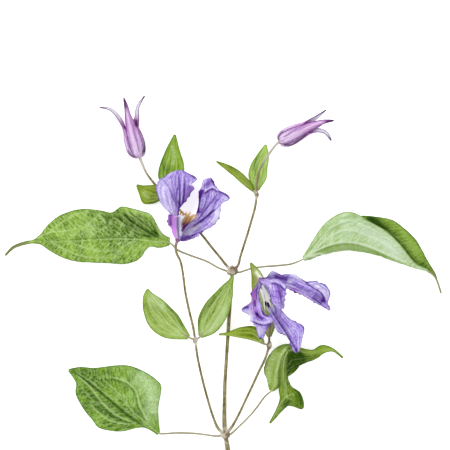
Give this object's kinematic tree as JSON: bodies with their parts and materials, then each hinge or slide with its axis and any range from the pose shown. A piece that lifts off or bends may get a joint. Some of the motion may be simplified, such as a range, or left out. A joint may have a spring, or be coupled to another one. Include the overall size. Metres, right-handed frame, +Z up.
{
  "type": "clematis sprig",
  "caption": "Cut clematis sprig lying flat: nodding violet flowers with long tepals, ribbed pink-purple buds and broad pointed green leaves on a thin branched stem.",
  "frame": {"origin": "on the surface the sprig lies on, under the middle of the whole sprig", "axes": "+Z up from the surface; +Y along the main stem from its cut end towards the flowers; +X to the right as seen from above"},
  "size_m": [0.2635, 0.2157, 0.0451],
  "materials": {
    "stem": "matte brown-olive stem",
    "leaf": "soft waxy leaf",
    "young_leaf": "soft waxy young leaf",
    "tepal": "velvety tepal",
    "bud": "satin bud",
    "golden_stamens": "matte stamens",
    "cream_stamens": "matte stamens"
  },
  "bodies": {
    "root": {"stem": "stem", "leaf_left": "leaf", "leaf_right": "leaf", "leaf_low_left": "leaf", "leaf_low_right": "leaf", "leaf_branch_left_outer": "leaf", "leaf_branch_left_inner": "leaf", "leaf_branch_right_outer": "leaf", "leaf_branch_right_inner": "leaf", "leaf_bud_left_upper": "young_leaf", "leaf_bud_left_side": "young_leaf", "leaf_bud_right_side": "young_leaf", "leaf_bud_right_upper": "young_leaf", "flower_left_tepal_1": "tepal", "flower_left_tepal_2": "tepal", "flower_left_tepal_3": "tepal", "flower_left_tepal_4": "tepal", "flower_left_stamens": "golden_stamens", "flower_right_tepal_1": "tepal", "flower_right_tepal_2": "tepal", "flower_right_tepal_3": "tepal", "flower_right_tepal_4": "tepal", "flower_right_stamens": "cream_stamens", "bud_left": "bud", "bud_right": "bud"}
  },
  "joints": []
}
